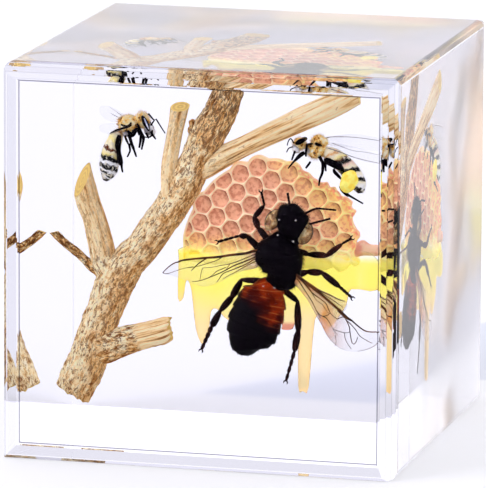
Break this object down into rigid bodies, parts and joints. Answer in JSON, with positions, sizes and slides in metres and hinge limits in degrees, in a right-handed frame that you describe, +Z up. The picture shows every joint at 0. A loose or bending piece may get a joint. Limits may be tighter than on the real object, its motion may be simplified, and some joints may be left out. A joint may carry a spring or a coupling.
{
  "type": "insect in resin block",
  "caption": "Clear resin cube with a honeybee cast in it, before a branch, a piece of honeycomb with dripping honey and small bees.",
  "frame": {"origin": "centre of the underside, which the block rests on", "axes": "+X to the right along the front face, +Y away from it, +Z up"},
  "size_m": [0.04, 0.04, 0.04],
  "materials": {
    "clear_resin": "polished",
    "dark_insect": "satin",
    "bark": "matte",
    "beeswax": "satin",
    "honey": "gloss",
    "banded_insect": "matte"
  },
  "bodies": {
    "root": {"resin_front": "clear_resin", "resin_back": "clear_resin", "honeybee": "dark_insect", "branch_trunk": "bark", "branch_arm": "bark", "branch_upright": "bark", "branch_left_stub": "bark", "branch_right_stub": "bark", "branch_twig": "bark", "honeycomb": "beeswax", "honey": "honey", "flying_bee": "banded_insect", "pollen_bee": "banded_insect"}
  },
  "joints": []
}
